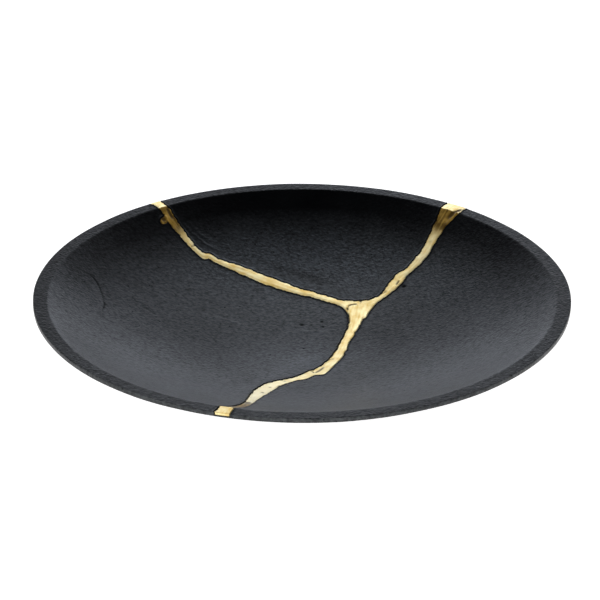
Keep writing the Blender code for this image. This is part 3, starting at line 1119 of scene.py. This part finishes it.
@dataclass(frozen=True)
class CoatGloss:
    """How glossy the coat is over the bowl, where 1 is the middle of the dish.

    The map is painted light and shade in the coat's specular level. It is dull on the slope, with painted
    sheen in bands across the slope's back and front, painted shade under the back of the rim and on both
    flanks, and darkest on the rim, whose upright edge shines with a painted reflection. A pair of numbers
    says where on the dish's radius a change begins, and over how much more of it it grows, both as shares.
    Angles are in degrees, anticlockwise from the bowl's right.
    """

    slope: float = 0.56                             # painted shade: share that the slope loses
    slope_place: tuple[float, float] = (0.0, 0.35)
    spared_place: tuple[float, float] = (0.15, 0.2)     # at the back the slope keeps its shine
    back_painted_sheen: float = 0.75                          # painted sheen added in a band across the back
    back_painted_sheen_middle: float = 0.67
    back_painted_sheen_width: float = 0.17
    front_painted_light: float = 1.1                          # and painted light added on the front
    front_place: tuple[float, float] = (0.3, 0.3)
    front_end: float = 0.25                         # share of that which is lost again near the rim
    front_end_place: tuple[float, float] = (0.8, 0.1)
    shade: float = 0.97                             # painted shade under the back of the rim, as a share lost
    shade_place: tuple[float, float] = (0.74, 0.18)
    shade_power: float = 1.4
    flank: float = 0.45                             # painted shade on the flanks, as a share lost
    flank_place: tuple[float, float] = (0.72, 0.2)
    flank_sides: tuple[float, ...] = (-8, 203)
    flank_power: float = 12
    rim: float = 0.26
    rim_back: float = 0.10                          # painted shade at the back of the rim, and painted light at its front
    rim_left: float = 0.45                          # painted shade on the left of the rim, as a share lost
    rim_left_side: float = 155
    land: float = 9.0                               # painted reflection: how many times the rim's flat the upright edge shines
    tuck: float = 0.02                              # and of the rounding below, against the upright edge

    def at(self, plan: np.ndarray, form: BowlForm) -> np.ndarray:
        """Work out the gloss of the coat.

        Args:
            plan: Points (x, y) run out flat.
            Work out the coat's specular level, with its painted light and shade.

        Returns:
            One gloss for each point.
        """
        run = from_axis(plan)
        share = run / form.rim_inner
        turn = np.arctan2(plan[:, 1], plan[:, 0])

        def facing(side: float) -> np.ndarray:
            """How nearly the points lie on a side, from 1 there to 0 a quarter turn off."""
            return np.maximum(np.cos(turn - math.radians(side)), 0.0)

        back, front = facing(90), facing(270)
        dish = 1 - self.slope * ramp(share, *self.slope_place) * (
            1 - back ** 2 * ramp(share, *self.spared_place))
        # Painted sheen in bands across the back and the front of the dish.
        rubbed = self.back_painted_sheen * np.exp(-((share - self.back_painted_sheen_middle) / self.back_painted_sheen_width) ** 2) * back
        rubbed += (self.front_painted_light * ramp(share, *self.front_place) * front ** 2
                   * (1 - self.front_end * ramp(share, *self.front_end_place)))
        # Painted shade under the back of the rim and on both flanks.
        shaded = self.shade * ramp(share, *self.shade_place) ** self.shade_power * back
        flanked = self.flank * ramp(share, *self.flank_place) * sum(
            facing(side) ** self.flank_power for side in self.flank_sides)
        # Painted shade on the rim, and a painted reflection on its upright edge.
        rim = (self.rim - self.rim_back * np.sin(turn)) * (1 - self.rim_left * facing(self.rim_left_side))
        rim *= np.where(run > form.edge_start, self.land, 1.0) * np.where(run > form.land_end, self.tuck, 1.0)
        return np.where(share < 1, dish * (1 + rubbed) * (1 - shaded) * (1 - flanked), rim)


@dataclass
class CastBowl:
    """The casting: dish, rim and underside in one skin, with the groove for the seam."""

    form: BowlForm
    seam: SeamPlan
    finish: BlackCastCoat
    swell: Layer
    # painted light and shade in the coat's specular level
    gloss: CoatGloss = CoatGloss()
    grid: float = 1.6 * MM                          # spacing of the points of the dish
    under_grid: float = 3.2 * MM                    # and of the underside
    point_gap: float = 0.55 * MM                    # least distance of loose points from the rows by the seam
    mark_gap: float = 0.4 * MM                      # and of the points of marks
    end_gap: float = 0.3 * MM                       # of those rows from the border
    foot_points: int = 120
    lip_rings: tuple[float, ...] = (-1.4 * MM, -0.4 * MM, 0.0, 0.35 * MM, 0.9 * MM)  # from the inner edge
    flat_start: float = 1.7 * MM                    # from that edge to the first ring on the rim's flat
    flat_step: float = 1.35 * MM                    # from one such ring to the next
    flat_end: float = 0.4 * MM                      # least distance of the last one from the rounding
    edge_rings: int = 3                             # over the rounding above the upright edge
    tuck_rings: int = 2                             # and over the one below it
    outline_step: float = 0.8 * MM
    gap: float = 0.2 * MM                           # from the inlay's edge to the groove's
    groove: Trough = Trough(depth=2.7 * MM, overhang=2.4 * MM)
    lip: float = 0.5 * MM                           # height of the bead beside the groove, on the dish
    rim_lip: float = 0.34 * MM                      # and on the rim
    rim_lip_from: float = 1.5 * MM                  # inside the rim, where it gets that height
    lip_middle: float = 0.6 * MM                    # from the groove's edge to the bead's top
    lip_width: float = 0.55 * MM
    round_depth: float = 0.25 * MM                  # of the rounding of the groove's edge
    round_width: float = 0.2 * MM
    lip_rows: tuple[float, ...] = (0.25 * MM, 0.5 * MM, 0.8 * MM, 1.2 * MM, 1.8 * MM, 2.8 * MM)
    worn_beside: float = 3.5 * MM                   # distance from the seam in which its wear fades
    wall_gloss: float = 0.5                         # of the outer wall and the foot
    mark_depth: float = 0.22 * MM                   # depth of a groove whose painted shade would take all the shine away
    mark_painted_light: tuple[float, float] = (-0.9, 0.25)  # most painted shade that a groove takes away, and painted light that a ridge adds
    marks: tuple[Crease | Pit, ...] = CASTING_MARKS

    def rings(self) -> list[float]:
        """Choose where rings of points lie over the lip, the rim and its outer edge.

        Returns:
            Plan distances from the axis, run out flat.
        """
        form = self.form
        inner, start, land = form.rim_inner, form.edge_start, form.land_start
        lip = [inner + away for away in self.lip_rings]
        flat = np.arange(inner + self.flat_start, start - self.flat_end, self.flat_step)
        upper = start + np.arange(self.edge_rings + 1) * (land - start) / self.edge_rings
        lower = form.land_end + np.arange(self.tuck_rings) * (form.reach - form.land_end) / self.tuck_rings
        return [*lip, *flat, *upper, (land + form.land_end) / 2, *lower]

    def lift(self, out: np.ndarray, run: np.ndarray) -> np.ndarray:
        """How far the casting stands off its turned form.

        Args:
            out: Distances from the groove's edge.
            run: Distances from the axis.

        Returns:
            The height of the bead beside the groove, less the rounding of the groove's edge.
        """
        height = np.where(run < self.form.rim_inner - self.rim_lip_from, self.lip, self.rim_lip)
        rounded = self.round_depth * np.exp(-(out / self.round_width) ** 2)
        return height * np.exp(-((out - self.lip_middle) / self.lip_width) ** 2) - rounded

    def sheet(self) -> Sheet:
        """Triangulate the casting's upper side in plan.

        Returns:
            The sheet, with its faces inside the groove told apart.
        """
        form, step = self.form, self.outline_step
        outlines = self.seam.outlines(step, self.gap)
        beside = [outline for away in self.lip_rows for outline in self.seam.outlines(step, self.gap + away)]
        near = np.vstack([*outlines, *beside])
        marks = clear_of(np.vstack([mark.points() for mark in self.marks]), near, self.mark_gap)
        near = np.vstack([near, marks])
        dish = hexagons(form.rim_inner - 1.5 * self.grid, self.grid)
        circles = [ring(radius, RING_POINTS, number % 2 / 2) for number, radius in enumerate(self.rings())]
        loose = clear_of(np.vstack([dish, *circles]), near, self.point_gap)
        near = near[from_axis(near) < form.reach - self.end_gap]
        border = ring(form.reach, RING_POINTS)
        overhang = ring(form.trough_end(self.groove), RING_POINTS)
        return Sheet.between(np.vstack([loose, near]), border, outlines, overhang)

    def build(self) -> bpy.types.Object:
        """Build the casting and dress it.

        Returns:
            The finished piece.
        """
        form, sheet = self.form, self.sheet()
        count = len(sheet.plan)
        run = from_axis(sheet.plan)
        out = sheet.from_border(form.trough_end(self.groove))
        marked = sum(mark.lift(sheet.plan) for mark in self.marks)
        top = form.lay(sheet.plan, self.lift(out, run) + marked)
        deep = form.lay_deep(sheet.plan, self.groove)
        faces = [tuple(face) for face in sheet.faces[~sheet.in_seam].tolist()]
        faces += [tuple(corner + count for corner in face) for face in sheet.faces[sheet.in_seam].tolist()]
        faces += [(a, b, b + count, a + count) for a, b in sheet.seam_border()]
        border = np.flatnonzero(run > form.reach - NEAR)
        border = border[np.argsort(np.arctan2(sheet.plan[border, 1], sheet.plan[border, 0]))]
        under, under_faces = self.underside(top[border])
        numbers = np.concatenate([border, 2 * count + np.arange(len(under))])
        faces += [tuple(face) for face in numbers[under_faces].tolist()]
        beside = np.exp(-out / self.worn_beside)
        # The coat's specular level carries painted light and shade: the map by place, painted shade in
        # grooves and painted light on ridges.
        gloss = self.gloss.at(sheet.plan, form) * (1 + np.clip(marked / self.mark_depth, *self.mark_painted_light))
        on_rim = (run > form.rim_inner).astype(float) + (run > form.edge_start)
        none = np.zeros(len(under))
        values = {"relief": np.ones(2 * count + len(under)),
                  "beside_seam": np.concatenate([beside, beside, none]),
                  "gloss": np.concatenate([gloss, gloss, none + self.wall_gloss]),
                  "on_rim": np.concatenate([on_rim, on_rim, none])}
        piece = new_object("cast_bowl", np.vstack([top, deep, under]), faces, values)
        Relief("casting_relief", (self.swell,)).press(piece, self.finish.material())
        return piece

    def underside(self, border: np.ndarray) -> tuple[np.ndarray, np.ndarray]:
        """Triangulate the outer wall and the foot.

        Args:
            border: The points (x, y, z) of the rim's edge where the wall begins, in order round the bowl.

        Returns:
            The new points, and faces whose numbers count the border's points first.
        """
        form = self.form
        inner = hexagons(form.wall_top - 1.5 * MM, self.under_grid)
        circles = np.vstack([ring(form.wall_top, RING_POINTS // 2), ring(form.base_radius, self.foot_points)])
        loose = np.vstack([clear_of(inner, circles, 0.5 * self.under_grid), circles])
        plan, faces, _ = triangulate([border[:, :2]], loose)
        return np.column_stack([plan, form.under(from_axis(plan))])[len(border):], faces[:, ::-1]


@dataclass
class SeamInlay:
    """The gold-coloured inlay that fills the groove and wraps over the rim."""

    form: BowlForm
    seam: SeamPlan
    finish: GoldInlay
    swell: Layer
    lumps: Layer = Layer("lumps", 0.25 * MM, (9 * MM,) * 3)
    streaks: Layer = Layer("streaks", 0.06 * MM, (9 * MM, 1.8 * MM, 1.0), ground=Ground.FLOW)
    grid: float = 0.7 * MM
    grid_reach: float = 14 * MM                     # from an outline inwards, past which no points are needed
    mark_gap: float = 0.25 * MM                     # least distance of the points of marks from the rows
    end_gap: float = 0.2 * MM                       # of the rows from the inlay's ends
    outline_step: float = 0.7 * MM
    filling: Trough = Trough(depth=2.4 * MM, overhang=2.2 * MM)
    proud: float = 0.36 * MM
    sunk_edge: float = 0.12 * MM
    crown: float = 0.7 * MM                         # distance in which the edge rises to the crown
    slope_shade_rise: float = 0.09                        # share of the dish's radius in which the painted shade on the slope sets in
    front_painted_light: float = 0.8                          # painted light: how much paler the metal is painted on the front slope
    front_place: tuple[float, float] = (0.12, 0.3)  # where on the radius that begins, and how slowly it grows
    painted_glint: tuple[float, float] = (90, 113)           # in plan, in millimetres, where a glint is painted at the back
    painted_glint_strength: float = 0.35
    painted_glint_radius: float = 11 * MM
    tarnish_depth: float = 0.35 * MM                # depth of a mark that is wholly dark
    marks: tuple[Crease | Pit, ...] = GOLD_MARKS

    def lift(self, within: np.ndarray) -> np.ndarray:
        """How far the inlay stands off the casting's turned form, at distances inside its edge."""
        rise = 1 - np.exp(-within / self.crown)
        return (self.proud + self.sunk_edge) * rise - self.sunk_edge

    def left_rough(self, plan: np.ndarray, along: np.ndarray) -> np.ndarray:
        """Work out the painted shade on the slope: wholly there, not on the floor or the rim.

        Args:
            plan: Points (x, y).
            along: Their places along the seam, whose whole part is the number of the arm.

        Returns:
            One share for each point.
        """
        run = from_axis(plan) / self.form.rim_inner
        start = np.array([arm.slope_shade_from for arm in self.seam.arms])[along.astype(int)]
        rise = ramp(run, start, self.slope_shade_rise)
        return rise * rise * (3 - 2 * rise) * (run < 1)

    def rubbed(self, plan: np.ndarray) -> np.ndarray:
        """Work out the painted light: how much paler the metal is painted on the front slope and in a glint
        at the back.

        Args:
            plan: Points (x, y).

        Returns:
            One share for each point.
        """
        front = self.front_painted_light * ramp(-plan[:, 1] / self.form.rim_inner, *self.front_place)
        gap = np.linalg.norm(plan - np.array(self.painted_glint) * MM, axis=1)
        painted_glint = self.painted_glint_strength * np.exp(-(gap / self.painted_glint_radius) ** 2)
        return np.maximum(front, painted_glint) * (from_axis(plan) < self.form.rim_inner)

    def sheet(self) -> Sheet:
        """Triangulate the inlay in plan.

        Returns:
            The sheet, of which only the faces in the seam count.
        """
        outlines = self.seam.outlines(self.outline_step, 0.0)
        end = self.form.trough_end(self.filling)
        corners = np.vstack(outlines)
        wide = hexagons(end, self.grid)
        wide = wide[(wide > corners.min(axis=0)).all(axis=1) & (wide[:, 0] < corners[:, 0].max())]
        wide = wide[gaps(wide, corners) < self.grid_reach]
        rows = np.vstack(self.seam.outlines(self.outline_step, -0.5 * self.grid))
        rows = rows[from_axis(rows) < end - self.end_gap]
        near = np.vstack([corners, rows])
        marks = clear_of(np.vstack([mark.points() for mark in self.marks]), near, self.mark_gap)
        wide = clear_of(wide, np.vstack([near, marks]), 0.5 * self.grid)
        return Sheet.between(np.vstack([wide, rows, marks]), None, outlines, ring(end, RING_POINTS))

    def build(self) -> bpy.types.Object:
        """Build the inlay and dress it.

        Returns:
            The finished piece.
        """
        sheet = self.sheet()
        count = len(sheet.plan)
        along, aside = self.seam.flow(sheet.plan)
        within = sheet.from_border(self.form.trough_end(self.filling))
        marked = sum(mark.lift(sheet.plan) for mark in self.marks)
        top = self.form.lay(sheet.plan, self.lift(within) + marked)
        deep = self.form.lay_deep(sheet.plan, self.filling)
        inside = sheet.faces[sheet.in_seam].tolist()
        faces = [tuple(face) for face in inside]
        faces += [tuple(corner + count for corner in face[::-1]) for face in inside]
        faces += [(b, a, a + count, b + count) for a, b in sheet.seam_border()]
        flow = np.column_stack([along, aside, np.zeros(count)])
        values = {"relief": np.concatenate([np.ones(count), np.zeros(count)]),
                  "flow": np.vstack([flow, flow]),
                  "tarnish": np.tile(np.clip(-marked / self.tarnish_depth, 0.0, 1.0), 2),
                  # painted shade on the slope below the rim, brown
                  "left_rough": np.tile(self.left_rough(sheet.plan, along), 2),
                  # painted light, paler metal on the front slope and a glint at the back
                  "rubbed": np.tile(self.rubbed(sheet.plan), 2)}
        piece = new_object("seam_inlay", np.vstack([top, deep]), faces, values)
        relief = Relief("hand_laid_relief", (self.swell, self.lumps, self.streaks))
        relief.press(piece, self.finish.material())
        return piece


# --------------------------------------------------------------------------------------------------
# Studio
# --------------------------------------------------------------------------------------------------


@dataclass(frozen=True)
class SoftBox:
    """A large soft light, seen only in what it lights. Its angles are as seen from the bowl, in degrees."""

    name: str
    distance: float
    azimuth: float                                  # 0 straight behind the bowl, 90 on its right
    elevation: float
    width: float
    height: float
    radiance: float
    colour: str = "#FFFFFF"

    def build(self, aim: Vector) -> bpy.types.Object:
        """Make the light.

        Args:
            aim: The place that it is turned towards, and that its distance is measured from.

        Returns:
            The light's object.
        """
        azimuth, elevation = math.radians(self.azimuth), math.radians(self.elevation)
        level = math.cos(elevation)
        light = bpy.data.lights.new(self.name, "AREA")
        light.shape = "RECTANGLE"
        light.color = linear(self.colour)[:3]
        light.size = 2 * self.distance * math.sin(math.radians(self.width / 2)) * level
        light.size_y = 2 * self.distance * math.sin(math.radians(self.height / 2))
        light.energy = self.radiance * math.pi * light.size * light.size_y
        made = bpy.data.objects.new(self.name, light)
        made.location = aim + self.distance * Vector((math.sin(azimuth) * level, math.cos(azimuth) * level,
                                                      math.sin(elevation)))
        made.rotation_euler = (aim - made.location).to_track_quat("-Z", "Y").to_euler()
        made.visible_camera = False
        bpy.context.scene.collection.objects.link(made)
        return made


@dataclass(frozen=True)
class Studio:
    """Pale floor, soft lights and the camera."""

    distance: float = 5.0                           # of the camera from the middle of the rim
    elevation: float = math.radians(25.92)
    roll: float = math.radians(0.17)
    off_centre: tuple[float, float] = (-1.48 * MM, -2.46 * MM)  # of its aim, rightwards and upwards
    lens: float = 403.8
    sensor: float = 36.0
    view_end: float = 100.0
    light_aim: float = 30 * MM                      # height over the floor that the lights are turned to
    floor_half: float = 8.0
    paper: StudioPaper = StudioPaper()
    boxes: tuple[SoftBox, ...] = (
        SoftBox("back_low", 0.8, 0, 12, 45, 24, 3.0, "#F0F5FF"),
        SoftBox("back_high", 3.0, 0, 43, 45, 14, 3.7),
        SoftBox("back_right", 3.0, 45, 30, 45, 12, 0.8),
        SoftBox("front", 3.0, 180, 32, 100, 40, 2.2),
        SoftBox("left", 3.0, 262, 26, 70, 40, 2.8),
        SoftBox("right", 3.0, 98, 26, 70, 40, 1.2))

    def build(self, form: BowlForm) -> None:
        """Set up the floor, the lights and the camera.

        Args:
            form: The turned form of the bowl that they stand round.
        """
        self.floor()
        for box in self.boxes:
            box.build(Vector((0.0, 0.0, self.light_aim)))
        self.camera(Vector((0.0, 0.0, form.rim_height)))
        bpy.context.scene.view_settings.view_transform = "Standard"

    def floor(self) -> None:
        """Lay the pale floor under the bowl."""
        mesh = bpy.data.meshes.new("floor")
        half = self.floor_half
        mesh.from_pydata([(-half, -half, 0), (half, -half, 0), (half, half, 0), (-half, half, 0)], [],
                         [(0, 1, 2, 3)])
        mesh.materials.append(self.paper.material())
        made = bpy.data.objects.new("floor", mesh)
        bpy.context.scene.collection.objects.link(made)

    def camera(self, centre: Vector) -> None:
        """Put the camera in front of the bowl and above it.

        Args:
            centre: The middle of the rim, a little beside which it is aimed.
        """
        lens = bpy.data.cameras.new("camera")
        lens.lens = self.lens
        lens.sensor_width = self.sensor
        lens.clip_end = self.view_end
        made = bpy.data.objects.new("camera", lens)
        sine, cosine = math.sin(self.elevation), math.cos(self.elevation)
        right, up, back = Vector((1, 0, 0)), Vector((0, sine, cosine)), Vector((0, -cosine, sine))
        aside, above = self.off_centre
        made.location = centre + right * aside + up * above + back * self.distance
        turned = Matrix.Rotation(self.roll, 3, back) @ Matrix((right, up, back)).transposed()
        made.rotation_euler = turned.to_euler()
        bpy.context.scene.collection.objects.link(made)
        bpy.context.scene.camera = made


def main() -> None:
    """Build the casting, its inlay and the studio, and hand the pieces to the frame."""
    logging.basicConfig(level=logging.INFO, format="%(name)s: %(message)s")
    low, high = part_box("bowl_body")
    form = BowlForm(radius=(high[0] - low[0]) / 2, rim_height=high[2] - low[2])
    seam = SeamPlan()
    swell = Layer("swell", 0.35 * MM, (55 * MM,) * 3)
    bowl = CastBowl(form, seam, BlackCastCoat(), swell).build()
    inlay = SeamInlay(form, seam, GoldInlay(), swell).build()
    for piece, node, slot in ((bowl, "bowl_body", "black_cast_aluminium"),
                              (inlay, "gold_seam", "gold_inlay")):
        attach(piece, "root")
        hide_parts(node)
        LOG.info("%s: %d faces, stands for %s", piece.name, len(piece.data.polygons), node)
    Studio().build(form)


if __name__ == "__main__":
    main()
